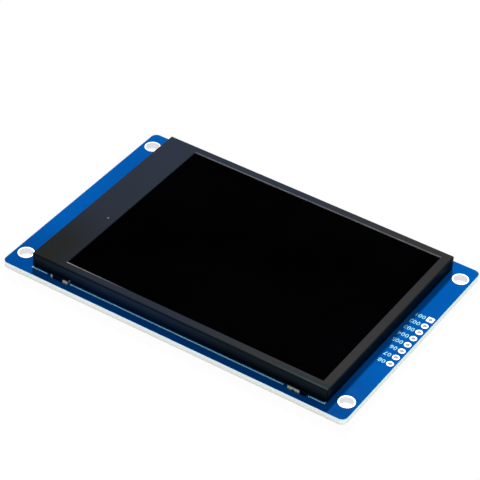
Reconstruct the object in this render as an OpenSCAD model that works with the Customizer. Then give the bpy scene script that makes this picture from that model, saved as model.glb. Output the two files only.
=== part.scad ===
// Colour display module: a backlit liquid crystal panel in a drawn steel bezel, held by foam tape
// and four feet on the front of a blue printed board with a row of plated header holes.
// The origin is the centre of the four mounting holes on the back face of the board's laminate.
// +X runs from the driver end to the header end, and +Z points out of the display.

/* [Board] */
// Length of board that shows beyond the panel at the driver end
driver_margin = 6.65; // [6.2:0.05:9]
// Length of board that shows beyond the panel at the header end
header_margin = 5.9; // [5.7:0.05:9]
// Width of board that shows beyond each long side of the panel
side_margin = 2.57; // [2.2:0.01:6]
// Thickness of the bare laminate
board_t = 1.5; // [1:0.1:2.4]
// Radius of the board's four corners
board_corner_r = 1.5; // [0.5:0.1:3]
// Distance that the hole pattern sits behind the board's long centre line
hole_row_shift = 0.3; // [0:0.1:0.8]
// Thickness of the solder mask on each face
mask_t = 0.03; // [0.02:0.01:0.06]
// Distance that the mask stops short of the board's edge
mask_pullback = 0.12; // [0.05:0.01:0.3]
// Gap between the mask and the metal that it leaves bare
mask_gap = 0.08; // [0.03:0.01:0.12]
// Thickness of the tinned copper on each face
copper_t = 0.04; // [0.03:0.01:0.07]
// Thickness of the tinned copper on a hole's wall
plating_t = 0.04; // [0.02:0.01:0.06]

/* [Mounting holes] */
// Finished diameter of a mounting hole
hole_d = 3.2; // [2.6:0.1:3.4]
// Distance from a mounting hole's centre to the board's end
hole_inset_x = 2.7; // [2.5:0.05:3.2]
// Mean distance from a mounting hole's centre to the board's long side
hole_inset_y = 5.15; // [3:0.05:8]
// Width of the bare ring round a mounting hole
ring_w = 0.35; // [0.3:0.05:0.6]

/* [Header row] */
// Number of header holes
pin_count = 8; // [4:1:14]
// Spacing of the header holes
pin_pitch = 2.54; // [2.5:0.01:2.6]
// Finished diameter of a header hole
pin_hole_d = 1.0; // [0.8:0.05:1.1]
// Diameter of a round pad, and side of the first, square one
pad_d = 1.65; // [1.5:0.05:2]
// Radius of the square pad's corners
pad_corner_r = 0.2; // [0.1:0.05:0.4]
// Distance from the row to the board's end
pin_inset = 1.27; // [1.2:0.01:1.6]

/* [Panel outline] */
// Length of the window
window_l = 67.1; // [60:0.1:80]
// Width of the window
window_w = 50.8; // [48:0.1:60]
// Border between the window and the panel's driver end
driver_border = 8.35; // [7.9:0.05:9]
// Border between the window and the panel's header end
header_border = 2.4; // [2.3:0.05:4]
// Border between the window and each long side of the panel
side_border = 2.18; // [2.05:0.01:4]
// Thickness of the foam tape between the panel and the board
tape_t = 0.4; // [0.3:0.05:0.8]
// Width of a foam tape strip
tape_w = 8; // [4:0.5:12]

/* [Bezel] */
// Thickness of the steel sheet
sheet_t = 0.25; // [0.2:0.01:0.3]
// Outer radius of the fold between the face and a wall
fold_r = 0.35; // [0.35:0.05:0.8]
// Outer radius of the upright corners where two walls meet
bezel_corner_r = 0.45; // [0.4:0.05:1]
// Bevel on the window's upper edge
window_bevel = 0.1; // [0.05:0.01:0.15]
// Distance that the walls hang below the panel's underside
skirt = 0.3; // [0.1:0.02:0.34]
// Gap between the bezel and the moulded frame
snap_gap = 0.08; // [0.04:0.01:0.12]

/* [Feet and clasps] */
// Length of a foot along the panel's side
foot_l = 4.7; // [4:0.1:6]
// Distance that a foot stands out of the bezel's wall
foot_reach = 0.95; // [0.8:0.05:1.2]
// Radius of a foot's outer corners, seen from above
foot_corner_r = 0.3; // [0.1:0.05:0.4]
// Height of a foot above the board
foot_h = 0.8; // [0.7:0.05:1.4]
// Distance from the panel's driver end to the middle of the feet there
driver_foot_inset = 8.05; // [5:0.05:14]
// Distance from the panel's header end to the middle of the feet there
header_foot_inset = 7.1; // [5:0.05:14]
// Thickness of the ear over a foot
ear_t = 0.25; // [0.2:0.05:0.35]
// Width of the tongue on the ears at the driver end
driver_tongue_w = 2.7; // [1.5:0.1:3]
// Width of the tongue on the ears at the header end
header_tongue_w = 1.5; // [1:0.1:2.2]
// Radius of the arch under a foot
arch_r = 0.45; // [0.3:0.05:0.6]

/* [Glass and films] */
// Thickness of each sheet of glass
glass_t = 0.5; // [0.4:0.05:0.7]
// Thickness of a polarizer
polarizer_t = 0.18; // [0.12:0.01:0.25]
// Thickness of the tape between the glass and the moulded frame
rim_tape_t = 0.06; // [0.04:0.01:0.1]
// Distance that this tape reaches in past the window's edge
rim_tape_reach = 0.3; // [0:0.05:0.8]
// Thickness of a prism sheet
prism_t = 0.12; // [0.08:0.01:0.2]
// Thickness of the diffuser sheet
diffuser_t = 0.1; // [0.06:0.01:0.2]
// Thickness of the light guide
guide_t = 1.14; // [1.1:0.01:1.3]
// Thickness of the reflector sheet
reflector_t = 0.1; // [0.06:0.01:0.2]
// Distance that the glass runs on past the window, under the bezel
glass_margin = 1.3; // [1:0.05:1.35]
// Distance that a polarizer stops short of the upper glass
polarizer_inset = 0.3; // [0.1:0.05:0.4]
// Length of the lower glass's ledge, which carries the driver chip
ledge_l = 4.6; // [4:0.1:4.8]
// Gap round the glass in the moulded frame
glass_gap = 0.1; // [0.05:0.01:0.15]
// Distance that the films run on past the window
film_margin = 0.6; // [0.4:0.05:0.7]
// Gap round the films in the moulded frame
film_gap = 0.1; // [0.05:0.01:0.15]
// Length of a film's locating tab
tab_l = 4; // [3:0.5:6]
// Reach of a film's locating tab
tab_reach = 0.5; // [0.3:0.05:0.6]
// Distance from the middle to a locating tab
tab_y = 16; // [10:0.5:20]

/* [Driver chip and flex] */
// Length of the driver chip
chip_l = 20; // [14:0.5:24]
// Width of the driver chip
chip_w = 1.4; // [1:0.1:1.8]
// Height of the driver chip
chip_h = 0.3; // [0.2:0.05:0.4]
// Thickness of the flexible circuit
flex_t = 0.1; // [0.07:0.01:0.12]
// Width of the flexible circuit where it leaves the glass
flex_w = 30; // [24:0.5:34]
// Width of the flexible circuit's tail
tail_w = 16; // [15.5:0.5:20]
// Length of the bond between the flexible circuit and the glass
bond_l = 0.9; // [0.6:0.1:1.2]
// Length of the tail under the panel, from the bend to its end
tail_l = 9; // [8:0.5:14]
// Gap between the flexible circuit's bend and the bezel
flex_gap = 0.12; // [0.05:0.01:0.2]
// Number of solder pads under the tail
tail_pads = 18; // [8:1:18]
// Spacing of the solder pads under the tail
tail_pitch = 0.8; // [0.7:0.05:0.85]
// Length of a solder pad under the tail
tail_pad_l = 2.4; // [1.5:0.1:3]
// Width of a solder pad under the tail
tail_pad_w = 0.45; // [0.3:0.05:0.5]

/* [Backlight] */
// Number of diodes
led_count = 6; // [3:1:6]
// Spacing of the diodes
led_pitch = 8; // [6:0.5:8.5]
// Length of a diode
led_l = 3.0; // [2.4:0.1:3.8]
// Depth of a diode
led_w = 0.85; // [0.6:0.05:1]
// Height of a diode
led_h = 1.0; // [0.6:0.05:1]
// Width of the diodes' strip
strip_w = 3.4; // [2.5:0.1:3.6]
// Width of the strip's lead to the flexible circuit
strip_lead_w = 3; // [2:0.5:5]
// Distance from the middle to the strip's lead
strip_lead_y = 6; // [0:0.5:12]

/* [Small parts on the back] */
// Distance from the header row to the row of small parts
parts_inset = 9; // [6:0.5:20]
// Length of a chip resistor or capacitor
chip_part_l = 1.6; // [1.4:0.1:2]
// Width of a chip resistor or capacitor
chip_part_w = 0.8; // [0.7:0.05:1.2]
// Height of a chip resistor
resistor_h = 0.45; // [0.35:0.05:0.6]
// Height of a chip capacitor
capacitor_h = 0.8; // [0.6:0.05:0.9]
// Length of a chip part's metal end
chip_end = 0.32; // [0.2:0.02:0.4]
// Length of a three-lead package's moulding
sot_l = 2.9; // [2.7:0.1:3.1]
// Width of a three-lead package's moulding
sot_w = 1.3; // [1.2:0.05:1.5]
// Height of a three-lead package
sot_h = 1.1; // [1:0.05:1.2]
// Spacing of the two leads on one side
sot_pitch = 1.9; // [1.8:0.05:2]
// Width over the leads
sot_span = 2.4; // [2.3:0.05:2.7]

/* [Printed legend] */
// Width of a printed line
legend_w = 0.28; // [0.15:0.01:0.4]
// Distance from the panel's long side to its printed outline
legend_side = 0.36; // [0.2:0.02:0.5]
// Length of a break in the outline, beside a foot
legend_break = 6.3; // [5:0.1:7]
// Distance that a break sits nearer the driver end than its foot
legend_shift = 0.4; // [0:0.05:0.5]
// Distance that the outline's end lines are tucked in under the panel
legend_tuck = 0.4; // [0.2:0.05:0.6]
// Thickness of the print
legend_t = 0.02; // [0.01:0.005:0.04]

/* [Hidden] */
$fn = 48;
over = 1;

// Levels, from the board's back face up through the panel's layers
board_top = board_t + mask_t;
panel_z = board_top + tape_t;
guide_z = panel_z + reflector_t;
diffuser_z = guide_z + guide_t;
lower_prism_z = diffuser_z + diffuser_t;
upper_prism_z = lower_prism_z + prism_t;
shelf_z = upper_prism_z + prism_t;
rear_polarizer_z = shelf_z + rim_tape_t;
array_z = rear_polarizer_z + polarizer_t;
filter_z = array_z + glass_t;
front_polarizer_z = filter_z + glass_t;
sheet_z = front_polarizer_z + polarizer_t;
face_z = sheet_z + sheet_t;
wall_foot_z = panel_z - skirt;
foot_top_z = board_top + foot_h;

// The panel's and the board's outlines, built up from the window
panel_l = driver_border + window_l + header_border;
panel_w = window_w + 2 * side_border;
board_l = driver_margin + panel_l + header_margin;
board_w = panel_w + 2 * side_margin;
panel_shift = (driver_margin - header_margin) / 2;
hole_pitch_x = board_l - 2 * hole_inset_x;
hole_pitch_y = board_w - 2 * hole_inset_y;

// Places along the board
board_y = -hole_row_shift;
pin_x = board_l / 2 - pin_inset;
drill_d = hole_d + 2 * plating_t;
ring_d = hole_d + 2 * ring_w;
pin_drill_d = pin_hole_d + 2 * plating_t;

// Places in the panel, measured from its own middle
panel_end = panel_l / 2;
panel_side = panel_w / 2;
window_x = driver_border + window_l / 2 - panel_end;
frame_l = panel_l - 2 * (sheet_t + snap_gap);
frame_w = panel_w - 2 * (sheet_t + snap_gap);
frame_corner_r = bezel_corner_r - sheet_t - snap_gap;
glass_l = window_l + 2 * glass_margin;
glass_w = window_w + 2 * glass_margin;
array_l = glass_l + ledge_l;
array_x = window_x - ledge_l / 2;
array_end = array_x - array_l / 2;
polarizer_l = glass_l - 2 * polarizer_inset;
polarizer_w = glass_w - 2 * polarizer_inset;
film_l = window_l + 2 * film_margin;
film_w = window_w + 2 * film_margin;
film_end = window_x - film_l / 2;
rim_tape_inner_l = window_l - 2 * rim_tape_reach;
rim_tape_inner_w = window_w - 2 * rim_tape_reach;

// The flexible circuit's bend
bend_top_z = filter_z + flex_t;
bend_low_z = board_t + copper_t;
bend_r = (bend_top_z - bend_low_z) / 2;
bend_z = (bend_top_z + bend_low_z) / 2;
bend_x = -panel_end + sheet_t + flex_gap + bend_r;
tail_end = bend_x + tail_l;
tail_pad_x = tail_end - tail_pad_l / 2 - 0.2;

// The diodes' strip
led_x = film_end - film_gap - led_w / 2;
strip_x = film_end - film_gap - strip_w / 2;

// Places of the small parts along the header end of the back
parts_x = pin_x - parts_inset;
regulator_y = 7;
transistor_y = -7;
second_row_x = parts_x - 4.5;

module at_panel() {
    translate([panel_shift, board_y, 0]) children();
}

// Flat outline of a rectangle with rounded corners, centred
module rounded_outline(length, width, radius) {
    square([length - 2 * radius, width], center = true);
    square([length, width - 2 * radius], center = true);
    for (sx = [-1, 1], sy = [-1, 1])
        translate([sx * (length / 2 - radius), sy * (width / 2 - radius)]) circle(r = radius);
}

module slab(length, width, thickness, x = 0, z = 0) {
    translate([x - length / 2, -width / 2, z]) cube([length, width, thickness]);
}

// ---- Printed board -------------------------------------------------------------------------

module at_mounting_holes() {
    for (sx = [-1, 1], sy = [-1, 1])
        translate([sx * hole_pitch_x / 2, sy * hole_pitch_y / 2, 0]) children();
}

function pin_y(i) = board_y + ((pin_count - 1) / 2 - i) * pin_pitch;

module at_tail_pads() {
    for (i = [0 : tail_pads - 1])
        translate([tail_pad_x, (i - (tail_pads - 1) / 2) * tail_pitch, 0]) children();
}

module board() {
    color([0.83, 0.84, 0.78])
    difference() {
        translate([0, board_y, 0])
            linear_extrude(board_t) rounded_outline(board_l, board_w, board_corner_r);
        at_mounting_holes() translate([0, 0, -over]) cylinder(d = drill_d, h = board_t + 2 * over);
        for (i = [0 : pin_count - 1])
            translate([pin_x, pin_y(i), -over]) cylinder(d = pin_drill_d, h = board_t + 2 * over);
    }
}

// A face's solder mask, with round openings at the holes and a square one at the first pin
module mask_sheet(z) {
    difference() {
        translate([0, board_y, z])
            linear_extrude(mask_t)
                rounded_outline(board_l - 2 * mask_pullback, board_w - 2 * mask_pullback,
                                board_corner_r - mask_pullback);
        at_mounting_holes()
            translate([0, 0, z - over]) cylinder(d = ring_d + 2 * mask_gap, h = mask_t + 2 * over);
        for (i = [1 : pin_count - 1])
            translate([pin_x, pin_y(i), z - over])
                cylinder(d = pad_d + 2 * mask_gap, h = mask_t + 2 * over);
        translate([pin_x, pin_y(0), z - over])
            linear_extrude(mask_t + 2 * over)
                rounded_outline(pad_d + 2 * mask_gap, pad_d + 2 * mask_gap, pad_corner_r + mask_gap);
    }
}

module front_mask() {
    color([0.0, 0.35, 0.72])
    difference() {
        mask_sheet(board_t);
        at_panel() at_tail_pads()
            cube([tail_pad_l + 2 * mask_gap, tail_pad_w + 2 * mask_gap, 4 * board_t], center = true);
    }
}

module back_mask() {
    color([0.0, 0.35, 0.72])
    difference() {
        mask_sheet(-mask_t);
        at_solder_lands() cube([land_l + 2 * mask_gap, land_w + 2 * mask_gap, board_t], center = true);
    }
}

// Plated rings of the four mounting holes, with the barrel through the board
module mounting_rings() {
    color([0.86, 0.86, 0.84])
    at_mounting_holes()
        difference() {
            union() {
                translate([0, 0, -copper_t]) cylinder(d = drill_d, h = board_t + 2 * copper_t);
                for (z = [-copper_t, board_t]) translate([0, 0, z]) cylinder(d = ring_d, h = copper_t);
            }
            translate([0, 0, -over]) cylinder(d = hole_d, h = board_t + 2 * over);
        }
}

// Plated barrels and pads of the header row; the first pad is square
module header_pads() {
    color([0.86, 0.86, 0.84])
    for (i = [0 : pin_count - 1])
        translate([pin_x, pin_y(i), 0])
            difference() {
                union() {
                    translate([0, 0, -copper_t]) cylinder(d = pin_drill_d, h = board_t + 2 * copper_t);
                    for (z = [-copper_t, board_t])
                        translate([0, 0, z]) linear_extrude(copper_t)
                            if (i == 0) rounded_outline(pad_d, pad_d, pad_corner_r);
                            else circle(d = pad_d);
                }
                translate([0, 0, -over]) cylinder(d = pin_hole_d, h = board_t + 2 * over);
            }
}

module tail_pads() {
    color([0.86, 0.86, 0.84])
    at_panel() at_tail_pads()
        translate([-tail_pad_l / 2, -tail_pad_w / 2, board_t]) cube([tail_pad_l, tail_pad_w, copper_t]);
}

// A printed line between two points of a face
module printed_line(x0, y0, x1, y1) {
    translate([min(x0, x1) - legend_w / 2, min(y0, y1) - legend_w / 2, 0])
        cube([abs(x1 - x0) + legend_w, abs(y1 - y0) + legend_w, legend_t]);
}

// The panel's printed outline, broken beside the feet
module front_legend() {
    side = panel_side + legend_side;
    end = panel_end - legend_tuck;
    gap = (legend_break + legend_w) / 2;
    driver_break_x = driver_foot_inset - panel_end - legend_shift;
    header_break_x = panel_end - header_foot_inset - legend_shift;
    color("white")
    at_panel() translate([0, 0, board_top])
        for (sy = [-1, 1]) {
            printed_line(-end, sy * side, driver_break_x - gap, sy * side);
            printed_line(driver_break_x + gap, sy * side, header_break_x - gap, sy * side);
            printed_line(header_break_x + gap, sy * side, end, sy * side);
            printed_line(sy * end, -side, sy * end, side);
        }
}

// ---- Small parts soldered to the back ------------------------------------------------------

// Each entry is a part's place and whether it lies along the board
resistor_places = [[parts_x, 0, 90], [second_row_x, -7, 0], [second_row_x, -3.5, 0]];
capacitor_places = [[parts_x, 11.5, 90], [second_row_x, 7, 90], [parts_x, 3.2, 90]];
regulator_place = [parts_x, regulator_y, 90];
transistor_place = [parts_x, transistor_y, 90];
land_l = 0.9;
land_w = 0.9;
chip_land_x = chip_part_l / 2 + 0.1;
sot_land_y = sot_span / 2 - 0.1;
sot_sides = [[-sot_pitch / 2, -1], [sot_pitch / 2, -1], [0, 1]];

module place(spot) {
    translate([spot[0], spot[1], 0]) rotate(spot[2]) children();
}

// Runs its children at every solder land of the back, turned so that +X leads away from the part
module at_solder_lands() {
    for (spot = concat(resistor_places, capacitor_places))
        place(spot) for (turn = [0, 180]) rotate(turn) translate([chip_land_x, 0, 0]) children();
    for (spot = [regulator_place, transistor_place])
        place(spot)
            for (s = sot_sides)
                translate([s[0], s[1] * sot_land_y, 0]) rotate(s[1] * 90) children();
}

// Stands a part that is drawn upright on the back's solder lands
module on_back(spot) {
    place(spot) translate([0, 0, -copper_t]) mirror([0, 0, 1]) children();
}

// A chip part: a ceramic block between two metal ends that are a little fatter
module chip_part(height) {
    cap = 0.03;
    translate([-chip_part_l / 2 + cap, -chip_part_w / 2 + cap, cap])
        cube([chip_part_l - 2 * cap, chip_part_w - 2 * cap, height - 2 * cap]);
    for (sx = [-1, 1])
        translate([sx * (chip_part_l - chip_end) / 2, 0, height / 2])
            cube([chip_end, chip_part_w, height], center = true);
}

// A three-lead package: a moulding with drafted sides, and gull-wing leads of one bent section
module three_lead_package() {
    draft = 0.08;
    stand = 0.08;
    middle = (sot_h + stand) / 2;
    lead_t = 0.13;
    lead_w = 0.4;
    foot = 0.42;
    moulding = [
        [-sot_w / 2 + draft, stand], [sot_w / 2 - draft, stand], [sot_w / 2, middle],
        [sot_w / 2 - draft, sot_h], [-sot_w / 2 + draft, sot_h], [-sot_w / 2, middle]
    ];
    lead = [
        [0, middle - lead_t / 2], [sot_span / 2 - foot - lead_t / 2, middle - lead_t / 2],
        [sot_span / 2 - foot, 0], [sot_span / 2, 0], [sot_span / 2, lead_t],
        [sot_span / 2 - foot + lead_t, lead_t], [sot_span / 2 - foot + lead_t / 2, middle + lead_t / 2],
        [0, middle + lead_t / 2]
    ];
    translate([-sot_l / 2, 0, 0]) rotate([90, 0, 90]) linear_extrude(sot_l) polygon(moulding);
    for (s = sot_sides)
        translate([s[0] - s[1] * lead_w / 2, 0, 0])
            rotate([90, 0, s[1] * 90]) linear_extrude(lead_w) polygon(lead);
}

module voltage_regulator() {
    color([0.12, 0.12, 0.13]) on_back(regulator_place) three_lead_package();
}

module backlight_transistor() {
    color([0.12, 0.12, 0.13]) on_back(transistor_place) three_lead_package();
}

module input_capacitor() {
    color([0.72, 0.58, 0.42]) on_back(capacitor_places[0]) chip_part(capacitor_h);
}

module output_capacitor() {
    color([0.72, 0.58, 0.42]) on_back(capacitor_places[1]) chip_part(capacitor_h);
}

module supply_capacitor() {
    color([0.72, 0.58, 0.42]) on_back(capacitor_places[2]) chip_part(capacitor_h);
}

module backlight_resistor() {
    color([0.12, 0.12, 0.13]) on_back(resistor_places[0]) chip_part(resistor_h);
}

module base_resistor() {
    color([0.12, 0.12, 0.13]) on_back(resistor_places[1]) chip_part(resistor_h);
}

module reset_resistor() {
    color([0.12, 0.12, 0.13]) on_back(resistor_places[2]) chip_part(resistor_h);
}

// The tinned lands of the small parts
module solder_joints() {
    color([0.8, 0.8, 0.78])
    at_solder_lands() translate([-land_l / 2, -land_w / 2, -copper_t]) cube([land_l, land_w, copper_t]);
}

// Printed boxes round the small parts
module back_legend() {
    color("white")
    for (spot = concat(resistor_places, capacitor_places))
        place(spot) printed_box(2 * (chip_land_x + land_l / 2) + 0.5, land_w + 0.6);
    color("white")
    for (spot = [regulator_place, transistor_place])
        place(spot) printed_box(sot_l + 0.6, 2 * (sot_land_y + land_l / 2) + 0.6);
}

module printed_box(length, width) {
    translate([0, 0, -mask_t - legend_t])
        linear_extrude(legend_t)
            difference() {
                square([length, width], center = true);
                square([length - 2 * 0.15, width - 2 * 0.15], center = true);
            }
}

// ---- Panel ---------------------------------------------------------------------------------

// Section across a box whose top edges are rounded over. Y is the level.
module folded_section(width, foot_z, top_z, radius) {
    translate([-width / 2, foot_z]) square([width, top_z - radius - foot_z]);
    translate([-width / 2 + radius, top_z - 2 * radius]) square([width - 2 * radius, 2 * radius]);
    for (side = [-1, 1]) translate([side * (width / 2 - radius), top_z - radius]) circle(r = radius);
}

// A box with rounded-over top edges that meet in a mitre above each upright corner, as the walls of
// a folded sheet do. The bezel is a shell of this form, and the moulded frame fills it.
module folded_box(length, width, foot_z, top_z, radius, corner_r) {
    intersection() {
        translate([-length / 2, 0, 0]) rotate([90, 0, 90])
            linear_extrude(length) folded_section(width, foot_z, top_z, radius);
        translate([0, width / 2, 0]) rotate([90, 0, 0])
            linear_extrude(width) folded_section(length, foot_z, top_z, radius);
        translate([0, 0, foot_z]) linear_extrude(top_z - foot_z) rounded_outline(length, width, corner_r);
    }
}

// Foam tape strips across the panel's underside
module foam_strip(x) {
    color([0.16, 0.16, 0.17])
    at_panel() slab(tape_w, film_w - 2, tape_t, x, board_top);
}

module driver_end_tape() {
    foam_strip(tail_end + 2 + tape_w / 2);
}

module header_end_tape() {
    foam_strip(panel_end - tape_w / 2 - 3);
}

// The four feet's places: the middle, the side, the front tongue's two ends, and whether the ear
// is also bent down round the foot's end that faces the header
foot_places = [
    for (sy = [-1, 1]) each [
        [driver_foot_inset - panel_end, sy, -driver_tongue_w / 2 - 0.3, driver_tongue_w / 2 - 0.3, false],
        [panel_end - header_foot_inset, sy, foot_l / 2 - header_tongue_w, foot_l / 2 - ear_t, true]
    ]
];

module at_feet() {
    for (f = foot_places) translate([f[0], f[1] * panel_side, 0]) mirror([0, f[1] < 0 ? 1 : 0, 0]) {
        $tongue_start = f[2];
        $tongue_end = f[3];
        $cheek = f[4];
        children();
    }
}

// A foot of the moulded frame: it runs out through the bezel's wall and stands on the board
module foot() {
    inner = sheet_t + snap_gap + 0.3;
    reach = foot_reach - 0.02;
    end = foot_l / 2 - ($cheek ? ear_t + 0.02 : 0);
    arch_x = $cheek ? ($tongue_start - foot_l / 2) / 2 : 0;
    difference() {
        translate([0, 0, board_top]) linear_extrude(foot_h) {
            translate([-foot_l / 2, -inner]) square([foot_l / 2 + end, inner + reach - foot_corner_r]);
            translate([-foot_l / 2 + foot_corner_r, 0]) square([foot_l / 2 + end - 2 * foot_corner_r, reach]);
            for (x = [-foot_l / 2 + foot_corner_r, end - foot_corner_r])
                translate([x, reach - foot_corner_r]) circle(r = foot_corner_r);
        }
        translate([-foot_l, -inner - over, board_top - over])
            cube([2 * foot_l, inner + over - sheet_t - snap_gap, over + tape_t]);
        translate([$tongue_start - 0.05, foot_reach - ear_t - 0.02, board_top - over])
            cube([$tongue_end - $tongue_start + ($cheek ? over : 0.1), over, foot_h + 2 * over]);
        translate([arch_x, -over, board_top]) rotate([-90, 0, 0]) cylinder(r = arch_r, h = 4 * over);
    }
}

module films_outline(length, width, x, gap = 0) {
    translate([x, 0]) square([length + 2 * gap, width + 2 * gap], center = true);
    for (sy = [-1, 1])
        translate([x + length / 2 + tab_reach / 2, sy * tab_y])
            square([tab_reach + 2 * gap, tab_l + 2 * gap], center = true);
}

module film(z, thickness) {
    translate([0, 0, z]) linear_extrude(thickness) films_outline(film_l, film_w, window_x);
}

// The moulded frame: a ring with a shelf for the glass, pockets for the diodes, a channel for
// their strip, a notch for the flexible circuit's bend, and the four feet
module moulded_frame() {
    height = sheet_z - panel_z;
    led_pocket = led_w + film_gap;
    color([0.93, 0.93, 0.9])
    at_panel() {
        difference() {
            folded_box(frame_l, frame_w, panel_z, sheet_z, fold_r - sheet_t, frame_corner_r);
            translate([0, 0, panel_z - over])
                linear_extrude(height + 2 * over) films_outline(film_l, film_w, window_x, film_gap);
            slab(array_l + 2 * glass_gap, glass_w + 2 * glass_gap, height, array_x, shelf_z);
            slab(strip_w + film_gap, film_w, height, strip_x, diffuser_z);
            at_leds() translate([-led_w / 2 - film_gap, -led_l / 2 - film_gap, guide_z])
                cube([led_w + 2 * film_gap, led_l + 2 * film_gap, height]);
            slab(panel_end + array_end - glass_gap + over, flex_w + 4 * glass_gap, 4 * height,
                 (array_end - glass_gap - panel_end - over) / 2, panel_z - over);
            translate([-panel_end, strip_lead_y - strip_lead_w / 2 - glass_gap, diffuser_z])
                cube([panel_end + strip_x, strip_lead_w + 2 * glass_gap, height]);
        }
        at_feet() foot();
    }
}

module reflector() {
    color([0.9, 0.91, 0.93]) at_panel() film(panel_z, reflector_t);
}

module light_guide() {
    color([0.85, 0.93, 0.97, 0.6]) at_panel() film(guide_z, guide_t);
}

module diffuser() {
    color([0.95, 0.95, 0.95]) at_panel() film(diffuser_z, diffuser_t);
}

module lower_prism_sheet() {
    color([0.88, 0.9, 0.94]) at_panel() film(lower_prism_z, prism_t);
}

module upper_prism_sheet() {
    color([0.88, 0.9, 0.94]) at_panel() film(upper_prism_z, prism_t);
}

function led_y(i) = (i - (led_count - 1) / 2) * led_pitch;

module at_leds() {
    for (i = [0 : led_count - 1]) translate([led_x, led_y(i), 0]) children();
}

// A side-firing diode: a white housing with a slanted cup that faces the light guide
module led(i) {
    if (i < led_count)
        color([0.97, 0.95, 0.82])
        at_panel() translate([led_x, led_y(i), diffuser_z - led_h])
            difference() {
                translate([-led_w / 2, -led_l / 2, 0]) cube([led_w, led_l, led_h]);
                translate([led_w / 2 - 0.25, -led_l / 2 + 0.3, 0.15]) cube([over, led_l - 0.6, led_h - 0.3]);
            }
}

module led_1() { led(0); }
module led_2() { led(1); }
module led_3() { led(2); }
module led_4() { led(3); }
module led_5() { led(4); }
module led_6() { led(5); }

// The diodes' flexible strip, with a lead that runs out to the main flexible circuit
module led_strip() {
    lead_end = bend_x - sqrt(pow(bend_r - flex_t, 2) - pow(diffuser_z + flex_t - bend_z, 2)) + 0.02;
    color([0.85, 0.55, 0.15])
    at_panel() {
        slab(strip_w, (led_count - 1) * led_pitch + led_l + 2, flex_t, strip_x, diffuser_z);
        translate([lead_end, strip_lead_y - strip_lead_w / 2, diffuser_z])
            cube([strip_x - lead_end, strip_lead_w, flex_t]);
    }
}

// Sticky frame between the shelf, the films' edges and the rear polarizer
module rim_tape() {
    color([0.08, 0.08, 0.09])
    at_panel() difference() {
        slab(polarizer_l, polarizer_w, rim_tape_t, window_x, shelf_z);
        slab(rim_tape_inner_l, rim_tape_inner_w, rim_tape_t + 2 * over, window_x, shelf_z - over);
    }
}

module rear_polarizer() {
    color([0.1, 0.1, 0.12]) at_panel() slab(polarizer_l, polarizer_w, polarizer_t, window_x, rear_polarizer_z);
}

// Lower glass, longer than the upper one by the ledge for the driver chip
module array_glass() {
    color([0.7, 0.8, 0.82]) at_panel() slab(array_l, glass_w, glass_t, array_x, array_z);
}

module filter_glass() {
    color([0.6, 0.7, 0.72]) at_panel() slab(glass_l, glass_w, glass_t, window_x, filter_z);
}

module front_polarizer() {
    color([0.02, 0.02, 0.03]) at_panel() slab(polarizer_l, polarizer_w, polarizer_t, window_x, front_polarizer_z);
}

module driver_chip() {
    color([0.35, 0.36, 0.4])
    at_panel() slab(chip_w, chip_l, chip_h, (array_end + bond_l + window_x - glass_l / 2) / 2, filter_z);
}

// The main flexible circuit: bonded to the ledge, turned through half a circle round the frame's
// end, and led back under the panel to the board's solder pads
module flex() {
    neck = 3;
    color([0.75, 0.42, 0.1])
    at_panel() {
        slab(array_end + bond_l - bend_x, flex_w, flex_t, (array_end + bond_l + bend_x) / 2, filter_z);
        translate([bend_x, flex_w / 2, bend_z]) rotate([90, 0, 0])
            difference() {
                cylinder(r = bend_r, h = flex_w);
                translate([0, 0, -over]) cylinder(r = bend_r - flex_t, h = flex_w + 2 * over);
                translate([0, -2 * bend_r, -over]) cube([2 * bend_r, 4 * bend_r, flex_w + 2 * over]);
            }
        translate([0, 0, bend_low_z])
            linear_extrude(flex_t)
                polygon([
                    [bend_x, -flex_w / 2], [bend_x + 1, -flex_w / 2], [bend_x + 1 + neck, -tail_w / 2],
                    [tail_end, -tail_w / 2], [tail_end, tail_w / 2], [bend_x + 1 + neck, tail_w / 2],
                    [bend_x + 1, flex_w / 2], [bend_x, flex_w / 2]
                ]);
    }
}

// ---- Bezel ---------------------------------------------------------------------------------

// Section of a flap that is bent down from an ear
module flap_section() {
    translate([0, board_top + 0.1]) square([ear_t, foot_top_z - board_top - 0.1]);
    translate([0, foot_top_z])
        intersection() {
            circle(r = ear_t);
            square(ear_t);
        }
}

// The ear over a foot, with a tongue bent down in front of it. An ear near the header is drawn
// round the foot's end as well, in one rounded corner
module clasp() {
    front = foot_reach - ear_t;
    ear_end = foot_l / 2 - ($cheek ? ear_t : 0);
    translate([-foot_l / 2, -sheet_t / 2, foot_top_z]) cube([foot_l / 2 + ear_end, front + sheet_t / 2, ear_t]);
    translate([$tongue_start, front, 0])
        rotate([90, 0, 90]) linear_extrude($tongue_end - $tongue_start) flap_section();
    if ($cheek) {
        translate([ear_end, front, 0]) rotate_extrude(angle = 90) flap_section();
        translate([ear_end, front, 0]) rotate([90, 0, 0]) linear_extrude(front + sheet_t / 2) flap_section();
    }
}

// A long wedge whose two flanks cut the bevel on the window's edges along X
module bevel_wedge(across, length) {
    translate([-length / 2, 0, 0]) rotate([90, 0, 90]) linear_extrude(length)
        polygon([
            [-across / 2, -window_bevel], [across / 2, -window_bevel],
            [across / 2 + window_bevel + over, over], [-across / 2 - window_bevel - over, over]
        ]);
}

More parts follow.
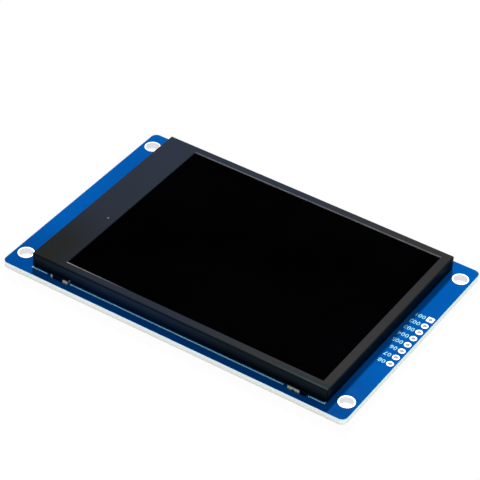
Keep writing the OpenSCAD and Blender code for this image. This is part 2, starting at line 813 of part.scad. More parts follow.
module bezel() {
    color([0.2, 0.2, 0.21])
    at_panel() {
        difference() {
            folded_box(panel_l, panel_w, wall_foot_z, face_z, fold_r, bezel_corner_r);
            folded_box(panel_l - 2 * sheet_t, panel_w - 2 * sheet_t, wall_foot_z - over, sheet_z,
                       fold_r - sheet_t, bezel_corner_r - sheet_t);
            slab(window_l, window_w, 4 * sheet_t, window_x, sheet_z - sheet_t);
            translate([window_x, 0, face_z]) intersection() {
                bevel_wedge(window_w, window_l + 2 * over);
                rotate(90) bevel_wedge(window_l, window_w + 2 * over);
            }
            at_feet() translate([-foot_l / 2 - 0.1, -over, wall_foot_z - over])
                cube([foot_l + 0.2, 2 * over, foot_top_z - wall_foot_z + over]);
        }
        at_feet() clasp();
    }
}

// ---- Nodes ---------------------------------------------------------------------------------

board();
front_mask();
back_mask();
front_legend();
back_legend();
header_pads();
mounting_rings();
tail_pads();
solder_joints();
voltage_regulator();
backlight_transistor();
input_capacitor();
output_capacitor();
supply_capacitor();
backlight_resistor();
base_resistor();
reset_resistor();
driver_end_tape();
header_end_tape();
moulded_frame();
reflector();
light_guide();
diffuser();
lower_prism_sheet();
upper_prism_sheet();
led_strip();
led_1();
led_2();
led_3();
led_4();
led_5();
led_6();
rim_tape();
rear_polarizer();
array_glass();
filter_glass();
front_polarizer();
driver_chip();
flex();
bezel();
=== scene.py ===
import math

import bmesh
import bpy
from mathutils import Matrix, Vector


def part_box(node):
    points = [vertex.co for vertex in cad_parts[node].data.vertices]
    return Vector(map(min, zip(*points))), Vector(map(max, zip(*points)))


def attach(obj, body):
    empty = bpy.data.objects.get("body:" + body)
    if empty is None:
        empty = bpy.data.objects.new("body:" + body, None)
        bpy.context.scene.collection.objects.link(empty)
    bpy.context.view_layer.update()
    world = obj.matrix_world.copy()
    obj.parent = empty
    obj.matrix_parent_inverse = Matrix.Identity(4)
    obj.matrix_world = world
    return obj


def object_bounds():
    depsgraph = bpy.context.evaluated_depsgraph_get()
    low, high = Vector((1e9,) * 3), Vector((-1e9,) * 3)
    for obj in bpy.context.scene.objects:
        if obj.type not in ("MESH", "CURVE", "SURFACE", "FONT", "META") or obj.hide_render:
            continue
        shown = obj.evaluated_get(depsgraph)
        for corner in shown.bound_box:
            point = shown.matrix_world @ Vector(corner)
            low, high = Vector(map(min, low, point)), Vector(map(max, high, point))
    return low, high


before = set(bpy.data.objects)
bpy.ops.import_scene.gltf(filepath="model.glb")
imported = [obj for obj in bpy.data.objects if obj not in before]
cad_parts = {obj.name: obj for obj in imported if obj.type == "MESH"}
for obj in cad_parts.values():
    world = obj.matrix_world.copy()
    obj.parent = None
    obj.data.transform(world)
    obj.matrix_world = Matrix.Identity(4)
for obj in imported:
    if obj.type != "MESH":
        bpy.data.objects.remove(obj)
cad_box = [list(map(float, corner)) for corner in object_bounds()]

# ---- Board blank -----------------------------------------------------------------------------
# The board is sawn from a sheet of woven glass and epoxy. Its edge stays bare: pale, dry and a
# little rough, with the layers of glass as faint lines and a burr along the top. The top of the edge
# is painted bright and bluish, partly as a painted highlight, and its bottom darker, as painted
# shade. Ink that ran off the solder mask has coloured the narrow rim of both faces.
MM = 0.001


def finish(name, roughness=0.5, metallic=0.0, gloss=0.5):
    """Starts a surface finish. gloss is how strongly a non-metal mirrors its surroundings."""
    made = bpy.data.materials.new(name)
    made.use_nodes = True
    sockets = coat(made).inputs
    sockets["Roughness"].default_value = roughness
    sockets["Metallic"].default_value = metallic
    sockets["Specular IOR Level"].default_value = gloss
    return made


def coat(made):
    """The finish's shader, whose sockets take its colour, roughness and relief."""
    return made.node_tree.nodes["Principled BSDF"]


def step(made, kind, feeds=None, **settings):
    """Adds one node to a finish. feeds maps an input's name or place to a number or an outlet."""
    tree = made.node_tree
    node = tree.nodes.new("ShaderNode" + kind)
    for key, value in settings.items():
        setattr(node, key, value)
    for key, value in (feeds or {}).items():
        if isinstance(value, bpy.types.NodeSocket):
            tree.links.new(value, node.inputs[key])
        else:
            node.inputs[key].default_value = value
    return node


def place_on(made, turn=(0, 0, 0), stretch=(1, 1, 1)):
    """The surface's own place in metres, turned and stretched for a pattern."""
    own = step(made, "TexCoord").outputs["Object"]
    return step(made, "Mapping", {"Vector": own, "Rotation": turn, "Scale": stretch}).outputs[0]


def axes(made):
    """The surface's own place in metres as three outlets: along the board, across it and up."""
    return step(made, "SeparateXYZ", {0: place_on(made)}).outputs


def facing(made, axis):
    """How squarely the surface faces along X, Y or Z, either way, from 0 to 1."""
    normal = step(made, "TexCoord").outputs["Normal"]
    return sums(made, "ABSOLUTE", step(made, "SeparateXYZ", {0: normal}).outputs[axis])


def sums(made, way, a, b=0.0):
    """One sum, product or comparison of two numbers or outlets."""
    return step(made, "Math", {0: a, 1: b}, operation=way).outputs[0]


def spread(made, share, low, high, start=0.3, end=0.7):
    """Maps a share between start and end to the range from low to high."""
    return step(made, "MapRange", {0: share, 1: start, 2: end, 3: low, 4: high}).outputs[0]


def rise(made, value, start, end):
    """Goes from 0 to 1 as a value goes from start to end."""
    return spread(made, value, 0, 1, start, end)


def fall(made, value, start, end):
    """Goes from 1 to 0 as a value goes from start to end."""
    return spread(made, value, 1, 0, start, end)


def speckle(made, size, where=None, detail=3.0):
    """Cloudy noise with blotches of about this size in millimetres, from 0 to 1."""
    where = where or place_on(made)
    return step(made, "TexNoise", {"Vector": where, "Scale": 0.5 / (size * MM), "Detail": detail,
                                   "Roughness": 0.55}).outputs["Fac"]


def blend(made, share, low, high):
    """Runs from one colour to another as share goes from 0 to 1."""
    mixed = step(made, "Mix", {0: share}, data_type="RGBA")
    for socket, colour in ((6, low), (7, high)):
        if isinstance(colour, bpy.types.NodeSocket):
            made.node_tree.links.new(colour, mixed.inputs[socket])
        else:
            mixed.inputs[socket].default_value = (*colour, 1)
    return mixed.outputs[2]


def mottle(made, noise, dark, light):
    """Blotches that run from a dark tone to a light one with a noise."""
    return blend(made, spread(made, noise, 0, 1), dark, light)


def feed(made, socket, outlet):
    """Drives one property of a finish, such as its colour, by a pattern."""
    made.node_tree.links.new(outlet, coat(made).inputs[socket])


def relief(made, height, depth):
    """Raises the surface by height, where 1 stands for depth in millimetres."""
    bump = step(made, "Bump", {"Height": height, "Distance": depth * MM, "Strength": 1.0})
    feed(made, "Normal", bump.outputs[0])


def dress(made, *names):
    """Puts a finish on solids of the frame."""
    for name in names:
        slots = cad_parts[name].data.materials
        slots.clear()
        slots.append(made)


board_low, board_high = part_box("board")
laminate = finish("sawn_laminate", gloss=0.2)
along, _, level = axes(laminate)
layers = speckle(laminate, 0.16, place_on(laminate, stretch=(0.02, 0.02, 1)), 2)
saw_marks = speckle(laminate, 0.25, place_on(laminate, stretch=(1, 1, 0.12)), 4)
resin = mottle(laminate, layers, (0.88, 0.88, 0.84), (0.97, 0.97, 0.93))
stain = spread(laminate, speckle(laminate, 6), 0, 0.25)
edge_tone = blend(laminate, stain, resin, (0.88, 0.82, 0.72))
# The burr along the top of the edge is painted bright and bluish, partly as a painted highlight.
burr_and_highlight = rise(laminate, level, board_high.z - 0.55 * MM, board_high.z - 0.25 * MM)
at_header = rise(laminate, along, board_high.x - 3 * MM, board_high.x - 0.5 * MM)
burr_highlight_tone = blend(laminate, at_header, (0.8, 0.99, 1.0), (0.55, 0.97, 1.0))
edge_tone = blend(laminate, burr_and_highlight, edge_tone, burr_highlight_tone)
# The edge is painted darker towards its bottom, as painted shade.
low_edge_shade = fall(laminate, level, board_low.z + 0.25 * MM, board_low.z + 0.6 * MM)
edge_tone = blend(laminate, low_edge_shade, edge_tone, (0.84, 0.83, 0.78))
rim = rise(laminate, facing(laminate, "Z"), 0.8, 0.9)
feed(laminate, "Base Color", blend(laminate, rim, edge_tone, (0.0, 0.09, 0.38)))
feed(laminate, "Roughness", spread(laminate, saw_marks, 0.6, 0.9))
relief(laminate, sums(laminate, "ADD", layers, saw_marks), 0.006)
dress(laminate, "board")

# ---- Solder mask -----------------------------------------------------------------------------
# Both faces carry a coat of blue light-cured ink, which stops just short of the sawn edge. It pools
# very slightly. Along the front the ink is painted darker, as painted shade.
mask = finish("blue_solder_mask", gloss=0.005)
cloud = speckle(mask, 9)
pooling = speckle(mask, 1.1, detail=2)
# The coat is painted darker towards the front edge, as painted shade.
front_shaded_coat = mottle(mask, cloud, (0.0, 0.062, 0.285), (0.0, 0.07, 0.305))
lit_coat = mottle(mask, cloud, (0.0, 0.1, 0.425), (0.0, 0.112, 0.46))
lit_share = rise(mask, axes(mask)["Y"], board_low.y, board_low.y + 18 * MM)
flecks = spread(mask, speckle(mask, 0.35, detail=2), 0, 0.2, 0.6, 0.8)
mask_tone = blend(mask, flecks, blend(mask, lit_share, front_shaded_coat, lit_coat), (0.0, 0.118, 0.48))
feed(mask, "Base Color", mask_tone)
feed(mask, "Roughness", spread(mask, pooling, 0.08, 0.13))
relief(mask, pooling, 0.0015)
dress(mask, "front_mask", "back_mask")

# ---- Tracks under the back's mask ------------------------------------------------------------
# Etched copper tracks join the header's holes to the small parts and run on to the panel's tail.
# The mask covers them, so they show as low ridges of a lighter blue, with a few covered vias.
track_w, track_raise = 0.3 * MM, 0.008 * MM
via_r, via_raise = 0.32 * MM, 0.009 * MM
back_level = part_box("back_mask")[0].z

track_mask = finish("blue_mask_over_copper", 0.36, gloss=0.1)
sheen = speckle(track_mask, 0.8)
feed(track_mask, "Base Color", mottle(track_mask, sheen, (0.0, 0.15, 0.5), (0.004, 0.2, 0.62)))
relief(track_mask, speckle(track_mask, 0.3), 0.004)


def thicken(shape, flat_faces, height):
    """Gives flat faces of a bmesh a thickness along Z, downwards where height is negative."""
    grown = bmesh.ops.extrude_face_region(shape, geom=flat_faces)
    moved = [v for v in grown["geom"] if isinstance(v, bmesh.types.BMVert)]
    bmesh.ops.translate(shape, vec=(0, 0, height), verts=moved)


def track(shape, points):
    """Lays one flat track along points, on the back's mask. Its legs overlap at each bend."""
    for (ax, ay), (bx, by) in zip(points, points[1:]):
        run = Vector((bx - ax, by - ay, 0))
        side = Vector((-run.y, run.x, 0)).normalized() * track_w / 2
        over = run.normalized() * track_w * 0.2
        start, end = Vector((ax, ay, back_level)) - over, Vector((bx, by, back_level)) + over
        corners = [start - side, start + side, end + side, end - side]
        thicken(shape, [shape.faces.new([shape.verts.new(corner) for corner in corners])], -track_raise)


def solid(name, shape, made):
    """Turns a bmesh into an object at the origin, in one finish."""
    mesh = bpy.data.meshes.new(name)
    shape.to_mesh(mesh)
    shape.free()
    mesh.materials.append(made)
    body = bpy.data.objects.new(name, mesh)
    bpy.context.scene.collection.objects.link(body)
    return body


def piece(name, shape, made):
    """Makes a bmesh a piece of the module, which rides with the frame."""
    bmesh.ops.recalc_face_normals(shape, faces=shape.faces)
    body = solid(name, shape, made)
    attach(body, "root")


pads_low, pads_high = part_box("header_pads")
pad_w = pads_high.x - pads_low.x
pad_edge = pads_low.x + 0.15 * MM
row_x = (pads_low.x + pads_high.x) / 2
row_top = pads_high.y - pad_w / 2
pin_count = 8
pin_pitch = (pads_high.y - pads_low.y - pad_w) / (pin_count - 1)
pin_y = [row_top - i * pin_pitch for i in range(pin_count)]

packages = ("voltage_regulator", "backlight_transistor")
chips = ("input_capacitor", "output_capacitor", "supply_capacitor", "backlight_resistor", "base_resistor",
         "reset_resistor")
spots = {name: sum(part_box(name), Vector()) / 2 for name in packages + chips}
regulator, transistor = spots["voltage_regulator"], spots["backlight_transistor"]
output, supply = spots["output_capacitor"], spots["supply_capacitor"]
backlight, base, reset = spots["backlight_resistor"], spots["base_resistor"], spots["reset_resistor"]
lead = 1.2 * MM  # from a package's middle to its leads' ends
land = 0.9 * MM  # from a chip's middle to its lands
slant = 0.55 * MM  # from a pad's middle to its rim, on a slant

routes = [
    [(pad_edge, pin_y[1]), (row_x - 3 * MM, pin_y[1]), (regulator.x + lead, regulator.y + 1 * MM)],
    [(row_x - slant, pin_y[1] + slant), (row_x - 2 * MM, pin_y[1] + 2 * MM),
     (row_x - 2 * MM, regulator.y + 3.4 * MM), (regulator.x, spots["input_capacitor"].y - land)],
    [(regulator.x - lead, regulator.y), (output.x, output.y - land)],
    [(output.x, output.y - land), (output.x, 3.6 * MM), (output.x - 1 * MM, 2.6 * MM),
     (-20 * MM, 2.6 * MM)],
    [(row_x - slant, pin_y[7] - slant), (row_x - 1.6 * MM, pin_y[7] - 1.6 * MM),
     (row_x - 5 * MM, pin_y[7] - 1.6 * MM), (transistor.x + lead, transistor.y - 1 * MM)],
    [(transistor.x - lead, transistor.y), (base.x + land, base.y)],
    [(base.x - land, base.y), (24 * MM, base.y), (23 * MM, base.y + 1 * MM),
     (-20 * MM, base.y + 1 * MM)],
    [(reset.x - land, reset.y), (22 * MM, reset.y), (21 * MM, reset.y + 1 * MM),
     (-17 * MM, reset.y + 1 * MM)],
    [(backlight.x, backlight.y + land), (supply.x, supply.y - land)],
]
for i, far_y in ((2, 1.6 * MM), (3, 0.4 * MM), (4, -0.8 * MM), (5, -1.6 * MM), (6, -9.2 * MM)):
    bend = row_x - (3.0 + 0.9 * i) * MM
    routes.append([(pad_edge, pin_y[i]), (bend, pin_y[i]), (bend - abs(pin_y[i] - far_y), far_y),
                   ((-16 - i) * MM, far_y)])

tracks = bmesh.new()
for points in routes:
    track(tracks, points)
track_vias = ((-20, 2.6), (-18, 1.6), (-19, 0.4), (-20, -0.8), (-21, -1.6), (-17, -2.5), (-20, -6),
              (-22, -9.2))
ground_vias = ((-30, 20), (-10, 22), (12, 21), (30, 22), (-30, -22), (-8, -23), (14, -22), (32, -21))
for x, y in track_vias + ground_vias:
    bmesh.ops.create_circle(tracks, cap_ends=True, radius=via_r, segments=16,
                            matrix=Matrix.Translation((x * MM, y * MM, back_level - via_raise)))
piece("back_tracks", tracks, track_mask)

# ---- Tinned copper ---------------------------------------------------------------------------
# The header's pads and barrels, the mounting holes' rings and walls, the tail's pads and the
# small parts' lands are copper under a thin coat of levelled tin: bright, slightly wavy and a
# little scratched. Inside the holes the tin is darker and mirrors more.


def above(made, value, limit):
    """1 where a value is over a limit, else 0."""
    return sums(made, "GREATER_THAN", value, limit)


def below(made, value, limit):
    """1 where a value is under a limit, else 0."""
    return sums(made, "LESS_THAN", value, limit)


def both(made, a, b):
    """1 only where two shares are 1."""
    return sums(made, "MULTIPLY", a, b)


tin = finish("levelled_tin")
level = axes(tin)["Z"]
in_hole = both(tin, below(tin, level, board_high.z), above(tin, level, board_low.z))
wave = speckle(tin, 1.4, detail=2)
scratch = speckle(tin, 0.2, place_on(tin, (0, 0, 0.6), (1, 0.06, 1)), 5)
tin_tone = mottle(tin, wave, (0.9, 0.9, 0.92), (0.97, 0.97, 1.0))
tin_tone = blend(tin, spread(tin, scratch, 0, 0.3, 0.55, 0.7), tin_tone, (0.78, 0.77, 0.77))
feed(tin, "Base Color", blend(tin, in_hole, tin_tone, (0.82, 0.82, 0.87)))
feed(tin, "Metallic", spread(tin, in_hole, 0.05, 0.9, 0, 1))
feed(tin, "Roughness", spread(tin, scratch, 0.28, 0.42))
relief(tin, wave, 0.004)
dress(tin, "header_pads", "mounting_rings", "tail_pads", "solder_joints")

# ---- Printed legend --------------------------------------------------------------------------
# White ink is printed through a screen: the panel's outline and plain numbers for the eight
# header holes on the front, and boxes round the small parts and two numbers on the back.
ink_t = 0.018 * MM
number_h = 1.2 * MM
front_weight, back_weight = 0.035 * MM, 0.02 * MM
front_gap, back_gap = 1.2 * MM, 2.4 * MM
missed_x, missed_y = 38 * MM, 20 * MM  # the screen let no ink through past this corner

ink = finish("white_legend_ink", 0.7, gloss=0.3)
along, across, _ = axes(ink)
missed = both(ink, above(ink, along, missed_x), above(ink, across, missed_y))
thin_ink = spread(ink, speckle(ink, 0.22, detail=4), 0, 0.3, 0.6, 0.85)
# The white ink is painted cyan, as painted blue light from the board round it.
ink_in_blue_light = blend(ink, thin_ink, (0.4, 0.9, 1.0), (0.28, 0.8, 1.0))
feed(ink, "Base Color", blend(ink, missed, ink_in_blue_light, (0.0, 0.11, 0.45)))
relief(ink, speckle(ink, 0.1), 0.004)
dress(ink, "front_legend", "back_legend")


def printed_number(name, word, weight, matrix):
    """A number of thick flat ink. The matrix places its left end, on the middle of its height."""
    curve = bpy.data.curves.new(name, "FONT")
    curve.body = word
    curve.align_x, curve.align_y = "LEFT", "CENTER"
    curve.size = number_h * 1.4  # a figure stands about 0.7 of the font's size
    curve.offset = weight
    curve.space_character = 1.1
    lettering = bpy.data.objects.new(name, curve)
    bpy.context.scene.collection.objects.link(lettering)
    ready = lettering.evaluated_get(bpy.context.evaluated_depsgraph_get())
    mesh = bpy.data.meshes.new_from_object(ready)
    bpy.data.objects.remove(lettering)
    shape = bmesh.new()
    shape.from_mesh(mesh)
    bpy.data.meshes.remove(mesh)
    bmesh.ops.remove_doubles(shape, verts=shape.verts, dist=1e-7)
    thicken(shape, shape.faces[:], ink_t)
    bmesh.ops.transform(shape, matrix=matrix, verts=shape.verts)
    piece(name, shape, ink)


ink_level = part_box("front_legend")[0].z
turned_about = Matrix.Rotation(math.pi, 4, "Z")
face_down = Matrix.Rotation(math.pi, 4, "Y")
for i, y in enumerate(pin_y):
    word = f"00{i + 1}" if i < 5 else f"0{i + 1}"
    spot = Matrix.Translation((row_x - front_gap, y, ink_level))
    printed_number(f"front_number_{i + 1}", word, front_weight, spot @ turned_about)
for i in (0, pin_count - 1):
    spot = Matrix.Translation((row_x - back_gap, pin_y[i], back_level))
    printed_number(f"back_number_{i + 1}", f"{i + 1}", back_weight, spot @ face_down)

# ---- Small parts on the back -----------------------------------------------------------------
# Three-lead packages are black moulded epoxy with tinned gull-wing leads; the chip resistors and
# capacitors are ceramic blocks with tinned ends. All are soldered to lands on the back.
chip_body = 0.47 * MM  # half the ceramic between a chip's tinned ends
package_body = 0.655 * MM  # half the epoxy between a package's rows of leads
ceramics = {"capacitor": ((0.36, 0.25, 0.15), (0.5, 0.36, 0.22)),
            "resistor": ((0.02, 0.02, 0.022), (0.035, 0.035, 0.04))}


def away(made, value, middle):
    """How far a value is from a middle one."""
    return sums(made, "ABSOLUTE", sums(made, "SUBTRACT", value, middle))


for name in chips:
    dark, light = ceramics[name.split("_")[1]]
    chip = finish(name + "_ceramic", 0.45)
    low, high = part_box(name)
    long_way = "X" if high.x - low.x > high.y - low.y else "Y"
    middle = spots[name]["XY".index(long_way)]
    tinned_end = above(chip, away(chip, axes(chip)[long_way], middle), chip_body)
    grain = spread(chip, speckle(chip, 0.12), 0, 1)
    ceramic_tone = blend(chip, grain, dark, light)
    end_tone = blend(chip, grain, (0.6, 0.6, 0.6), (0.8, 0.8, 0.8))
    feed(chip, "Base Color", blend(chip, tinned_end, ceramic_tone, end_tone))
    feed(chip, "Metallic", sums(chip, "MULTIPLY", tinned_end, 0.7))
    relief(chip, speckle(chip, 0.08), 0.006)
    dress(chip, name)

package = finish("moulded_epoxy", 0.6, gloss=0.4)
grain = speckle(package, 0.06, detail=4)
epoxy_tone = mottle(package, grain, (0.02, 0.02, 0.022), (0.045, 0.045, 0.048))
leads = above(package, away(package, axes(package)["X"], regulator.x), package_body)
feed(package, "Base Color", blend(package, leads, epoxy_tone, (0.72, 0.72, 0.71)))
feed(package, "Metallic", sums(package, "MULTIPLY", leads, 0.8))
relief(package, grain, 0.01)
dress(package, *packages)

# ---- Foam tape and moulded frame -------------------------------------------------------------
# Two strips of black closed-cell foam hold the panel off the board. The panel's frame is moulded
# in satin white polycarbonate. Its four feet come out under the bezel, where their sides are painted
# darker and beige as painted shade, darker still towards the bottom as painted contact shadow, and
# their ends almost black as painted shade.
foam = finish("closed_cell_foam", 0.95, gloss=0.2)
cells = step(foam, "TexVoronoi", {"Vector": place_on(foam), "Scale": 5200.0}).outputs["Distance"]
feed(foam, "Base Color", blend(foam, cells, (0.015, 0.015, 0.016), (0.05, 0.05, 0.052)))
relief(foam, cells, 0.05)
dress(foam, "driver_end_tape", "header_end_tape")

frame_low, frame_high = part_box("moulded_frame")
frame_middle, frame_half = (frame_low + frame_high) / 2, (frame_high - frame_low) / 2
foot_reach = 0.93 * MM  # how far the feet stand out of the frame's sides
moulding = finish("white_polycarbonate", gloss=0.4)
_, across, level = axes(moulding)
flow = speckle(moulding, 3, place_on(moulding, stretch=(1, 0.3, 1)))
inner_tone = mottle(moulding, flow, (0.8, 0.77, 0.7), (0.9, 0.89, 0.85))
# The feet are painted beige and darker as painted shade, darkest towards their bottom.
foot_height = rise(moulding, level, frame_low.z + 0.1 * MM, frame_low.z + 0.4 * MM)
shaded_foot_tone = blend(moulding, foot_height, (0.12, 0.12, 0.1), (0.46, 0.42, 0.33))
# The feet's ends are painted almost black, as painted shade.
foot_end_shade = rise(moulding, facing(moulding, "X"), 0.5, 0.9)
shaded_foot_tone = blend(moulding, foot_end_shade, shaded_foot_tone, (0.08, 0.085, 0.08))
on_foot = above(moulding, away(moulding, across, frame_middle.y), frame_half.y - foot_reach)
feed(moulding, "Base Color", blend(moulding, on_foot, inner_tone, shaded_foot_tone))
feed(moulding, "Roughness", spread(moulding, speckle(moulding, 0.3), 0.42, 0.58))
relief(moulding, speckle(moulding, 0.12, detail=4), 0.01)
dress(moulding, "moulded_frame")

# ---- Backlight -------------------------------------------------------------------------------
# A mirror-white sheet, an acrylic guide with printed dots, and milky films lie in the frame. Six
# diodes on an amber strip shine into the guide's end.
sheet = finish("reflector_film", 0.3)
feed(sheet, "Base Color", mottle(sheet, speckle(sheet, 0.5), (0.86, 0.87, 0.9), (0.94, 0.95, 0.96)))
relief(sheet, speckle(sheet, 2), 0.01)
dress(sheet, "reflector")

acrylic = finish("dotted_acrylic", 0.12)
dots = step(acrylic, "TexVoronoi", {"Vector": place_on(acrylic), "Scale": 2500.0,
                                    "Randomness": 0.1}).outputs["Distance"]
between = rise(acrylic, dots, 0.2, 0.3)
feed(acrylic, "Base Color", blend(acrylic, between, (0.95, 0.97, 0.98), (0.78, 0.87, 0.92)))
relief(acrylic, dots, 0.004)
dress(acrylic, "light_guide")

film = finish("optical_film", 0.35)
ridges = step(film, "TexWave", {"Vector": place_on(film), "Scale": 3200.0, "Distortion": 0.4}).outputs["Fac"]
feed(film, "Base Color", blend(film, ridges, (0.84, 0.86, 0.9), (0.95, 0.95, 0.96)))
relief(film, ridges, 0.01)
dress(film, "diffuser", "lower_prism_sheet", "upper_prism_sheet")

polyimide = finish("amber_polyimide", 0.35)
lines = step(polyimide, "TexWave", {"Vector": place_on(polyimide), "Scale": 390.0, "Distortion": 0.0},
             bands_direction="Y").outputs["Fac"]
over_copper = rise(polyimide, lines, 0.45, 0.55)
feed(polyimide, "Base Color", blend(polyimide, over_copper, (0.36, 0.16, 0.03), (0.62, 0.34, 0.08)))
relief(polyimide, lines, 0.01)
dress(polyimide, "flex", "led_strip")

phosphor_depth = 0.3 * MM
diode = finish("diode_housing", 0.4)
grain = spread(diode, speckle(diode, 0.1), 0, 1)
housing_tone = blend(diode, grain, (0.84, 0.83, 0.8), (0.92, 0.92, 0.9))
phosphor_tone = blend(diode, grain, (0.8, 0.62, 0.1), (0.92, 0.78, 0.2))
phosphor = above(diode, axes(diode)["X"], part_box("led_1")[1].x - phosphor_depth)
feed(diode, "Base Color", blend(diode, phosphor, housing_tone, phosphor_tone))
relief(diode, grain, 0.006)
dress(diode, *(f"led_{i}" for i in range(1, 7)))

# ---- Glass and polarizers --------------------------------------------------------------------
# Two thin sheets of glass hold the crystal, with the driver chip on the lower one's ledge. The
# front polarizer is a black film with a faint matt coat, and it is all that the window shows.
glass = finish("panel_glass", 0.06)
feed(glass, "Base Color", mottle(glass, speckle(glass, 8), (0.06, 0.08, 0.08), (0.1, 0.13, 0.13)))
relief(glass, speckle(glass, 4), 0.001)
dress(glass, "array_glass", "filter_glass")

silicon = finish("ground_silicon", 0.3, metallic=0.6)
grind = speckle(silicon, 0.05, place_on(silicon, (0, 0, 0.4), (1, 0.04, 1)), 4)
feed(silicon, "Base Color", mottle(silicon, grind, (0.16, 0.17, 0.19), (0.28, 0.29, 0.31)))
relief(silicon, grind, 0.002)
dress(silicon, "driver_chip")

tape = finish("black_rim_tape", 0.6)
feed(tape, "Base Color", mottle(tape, speckle(tape, 0.4), (0.014, 0.014, 0.015), (0.03, 0.03, 0.032)))
relief(tape, speckle(tape, 0.2), 0.005)
dress(tape, "rim_tape")

black_film = finish("black_polarizer", gloss=0.0)
haze = mottle(black_film, speckle(black_film, 14), (0.0003, 0.0003, 0.0004), (0.0009, 0.0009, 0.0013))
feed(black_film, "Base Color", haze)
feed(black_film, "Roughness", spread(black_film, speckle(black_film, 0.15), 0.05, 0.09))
relief(black_film, speckle(black_film, 3), 0.0006)
dress(black_film, "front_polarizer", "rear_polarizer")

# ---- Bezel -----------------------------------------------------------------------------------
# The bezel is pressed and folded from 0.25 mm steel with a fine matt black finish. The window's
# punched edge is bare metal along its back and near the driver end of its front, painted bright there
# partly as a painted highlight, and a small inspection dot marks the wide border.
bezel_low, bezel_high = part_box("bezel")
face_level = bezel_high.z
tongue_reach = 0.95 * MM  # how far the ears' tongues stand out of the bezel's front wall
front_wall = bezel_low.y + tongue_reach
film_low, film_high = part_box("front_polarizer")
film_cover = Vector((1, 1, 0)) * MM  # how far the film runs on under the window's edge
window_middle = (film_low + film_high) / 2
window_half = (film_high - film_low) / 2 - film_cover

black = finish("black_steel", gloss=0.012)
along, across, level = axes(black)
grit = speckle(black, 0.1, detail=4)
cloud = speckle(black, 14, detail=4)

# The face is painted lighter than the walls, as painted sheen. The sheen is painted cool and darker
# along the front towards the driver end, neutral towards the header, and weak in the driver end's
# front corner.
cool_sheen = blend(black, rise(black, across, -25 * MM, 25 * MM), (0.0098, 0.0148, 0.027), (0.0142, 0.021, 0.038))
weak_sheen_corner = both(black, fall(black, along, -34 * MM, -24 * MM), fall(black, across, -20 * MM, -6 * MM))
cool_sheen = blend(black, weak_sheen_corner, cool_sheen, (0.0055, 0.0075, 0.0065))
neutral_sheen = mottle(black, cloud, (0.019, 0.019, 0.02), (0.025, 0.025, 0.026))
face_with_painted_light = blend(black, rise(black, along, 0, 26 * MM), cool_sheen, neutral_sheen)
face_with_painted_light = blend(black, spread(black, grit, 0, 0.25, 0.5, 0.75), face_with_painted_light, (0.045, 0.046, 0.05))

# Towards the header the front border is painted darker and bluish, as painted shade, and its fold
# is painted bright, as a painted highlight.
toward_header = rise(black, along, 18 * MM, 34 * MM)
border = fall(black, across, front_wall + 1.3 * MM, front_wall + 1.6 * MM)
face_with_painted_light = blend(black, both(black, toward_header, border), face_with_painted_light, (0.0135, 0.0215, 0.0235))
fold = fall(black, across, front_wall + 0.45 * MM, front_wall + 0.65 * MM)
face_with_painted_light = blend(black, both(black, toward_header, fold), face_with_painted_light, (0.036, 0.054, 0.058))

# The walls are painted in the blue light of the board, as painted reflection. They are painted
# darker towards the foot and at the fold, as painted shade, and bluer towards the driver end.
height = rise(black, level, bezel_low.z + 0.6 * MM, face_level - 1 * MM)
grey_wall = blend(black, height, (0.0005, 0.0022, 0.0045), (0.0078, 0.012, 0.0165))
blue_wall = blend(black, height, (0.0003, 0.0055, 0.018), (0.0088, 0.0195, 0.044))
blue_stretch = fall(black, away(black, along, -12 * MM), 6 * MM, 26 * MM)
wall_tone = blend(black, blue_stretch, grey_wall, blue_wall)
# The header end's wall is painted darker still, as painted shade.
shaded_header_wall = spread(black, along, 0, 0.75, bezel_high.x - 0.4 * MM, bezel_high.x - 0.1 * MM)
wall_tone = blend(black, shaded_header_wall, wall_tone, (0.0, 0.003, 0.008))
crease_shade = rise(black, level, face_level - 0.45 * MM, face_level - 0.25 * MM)
wall_tone = blend(black, crease_shade, wall_tone, (0.0032, 0.0078, 0.0112))
on_wall = fall(black, level, face_level - 0.14 * MM, face_level - 0.04 * MM)
coat_with_painted_light = blend(black, on_wall, face_with_painted_light, wall_tone)

# The window's edge is bare in a narrow band, where the coat has chipped off. The bare band is
# painted bright grey, partly as a painted highlight.
front_band, back_band = 0.3 * MM, 0.15 * MM
from_side = sums(black, "SUBTRACT", away(black, across, window_middle.y), window_half.y)
from_end = sums(black, "SUBTRACT", away(black, along, window_middle.x), window_half.x)
at_back = above(black, across, 0)
band = spread(black, at_back, front_band, back_band, 0, 1)
on_edge = both(black, above(black, from_side, -0.02 * MM), below(black, from_side, band))
on_edge = both(black, on_edge, below(black, from_end, 0.1 * MM))
near_driver = fall(black, along, window_middle.x - window_half.x, window_middle.x - window_half.x / 2)
bare_highlit_stretch = sums(black, "MAXIMUM", at_back, near_driver)
chipped = spread(black, speckle(black, 1.6, detail=4), 0.7, 1.0, 0.4, 0.6)
wear_and_highlight = both(black, on_edge, both(black, chipped, bare_highlit_stretch))
back_edge_highlight = blend(black, speckle(black, 0.4), (0.16, 0.16, 0.17), (0.26, 0.26, 0.28))
bare_edge_highlight = blend(black, at_back, (0.33, 0.33, 0.35), back_edge_highlight)
worn_and_highlit = blend(black, wear_and_highlight, coat_with_painted_light, bare_edge_highlight)

# The inspection dot is a pale speck on the wide border.
dot = (-32.2 * MM, -7.56 * MM, face_level)
from_dot = step(black, "VectorMath", {0: place_on(black), 1: dot}, operation="DISTANCE").outputs["Value"]
on_dot = fall(black, from_dot, 0.12 * MM, 0.24 * MM)
feed(black, "Base Color", blend(black, on_dot, worn_and_highlit, (0.3, 0.32, 0.33)))
feed(black, "Roughness", spread(black, grit, 0.34, 0.46))
relief(black, grit, 0.003)
dress(black, "bezel")

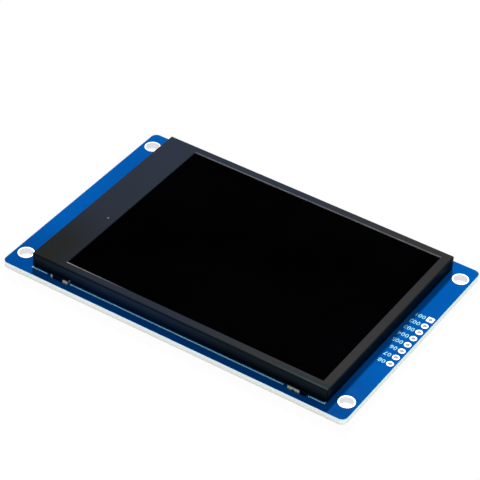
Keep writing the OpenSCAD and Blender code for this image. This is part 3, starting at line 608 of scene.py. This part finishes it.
# ---- Table, light and camera -----------------------------------------------------------------
# The module lies on a white table, in the light of a large lamp behind its driver end and of two
# low ones in front and beside the header, with a pale room around it.
table_gap = 0.02 * MM
table_half = 4.0
table_glow = 0.97
room_light = 0.28


def looked_at(made):
    """1 for rays that show a background: seen straight, in a mirror or through glass."""
    rays = step(made, "LightPath").outputs
    seen = sums(made, "MAXIMUM", rays["Is Camera Ray"], rays["Is Glossy Ray"])
    return sums(made, "MAXIMUM", seen, rays["Is Transmission Ray"])


def lamp(name, toward, power, softness):
    """A distant lamp whose light comes from the direction toward, as wide as softness in degrees."""
    light = bpy.data.lights.new(name, "SUN")
    light.energy, light.angle = power, math.radians(softness)
    holder = bpy.data.objects.new(name, light)
    bpy.context.scene.collection.objects.link(holder)
    holder.rotation_mode = "QUATERNION"
    holder.rotation_quaternion = Vector(toward).to_track_quat("Z", "Y")


paper = finish("white_table", 0.9, gloss=0.0)
feed(paper, "Base Color", blend(paper, speckle(paper, 30), (0.895, 0.895, 0.895), (0.905, 0.905, 0.905)))
glow = step(paper, "Emission", {"Color": (1, 1, 1, 1), "Strength": 1.0}).outputs[0]
share = sums(paper, "MULTIPLY", looked_at(paper), table_glow)
lit = step(paper, "MixShader", {0: share, 1: coat(paper).outputs[0], 2: glow}).outputs[0]
paper.node_tree.links.new(lit, paper.node_tree.nodes["Material Output"].inputs["Surface"])

table_top = bmesh.new()
bmesh.ops.create_grid(table_top, x_segments=1, y_segments=1, size=table_half,
                      matrix=Matrix.Translation((0, 0, cad_box[0][2] - table_gap)))
solid("table", table_top, paper)

world = bpy.data.worlds.new("pale_room")
bpy.context.scene.world = world
world.use_nodes = True
room = world.node_tree.nodes["Background"]
room.inputs["Color"].default_value = (0.96, 0.98, 1.0, 1)
world.node_tree.links.new(spread(world, looked_at(world), room_light, 1, 0, 1), room.inputs["Strength"])

lamp("rear_lamp", (-1.55, 2.7, 3.65), 2.75, 6)
lamp("front_lamp", (0.3, -0.95, 0.25), 0.82, 30)
lamp("side_lamp", (1.0, -0.25, 0.3), 0.8, 30)

# The camera stands half a metre off, in front and beyond the header's end, and looks down.
camera = bpy.data.cameras.new("camera")
camera.lens, camera.sensor_width = 167.85, 36
camera.shift_x, camera.shift_y = -0.0231, 0.00125
camera.clip_start, camera.clip_end = 0.01, 20
viewer = bpy.data.objects.new("camera", camera)
bpy.context.scene.collection.objects.link(viewer)
right = Vector((0.83790, 0.54409, 0.04355))
down = Vector((0.36988, -0.50732, -0.77834))
ahead = Vector((-0.40139, 0.66828, -0.62633))
turn = Matrix((right, -down, -ahead)).transposed().to_4x4()
viewer.matrix_world = Matrix.Translation((0.20296, -0.33506, 0.32370)) @ turn
bpy.context.scene.camera = viewer
bpy.context.scene.view_settings.view_transform = "Standard"
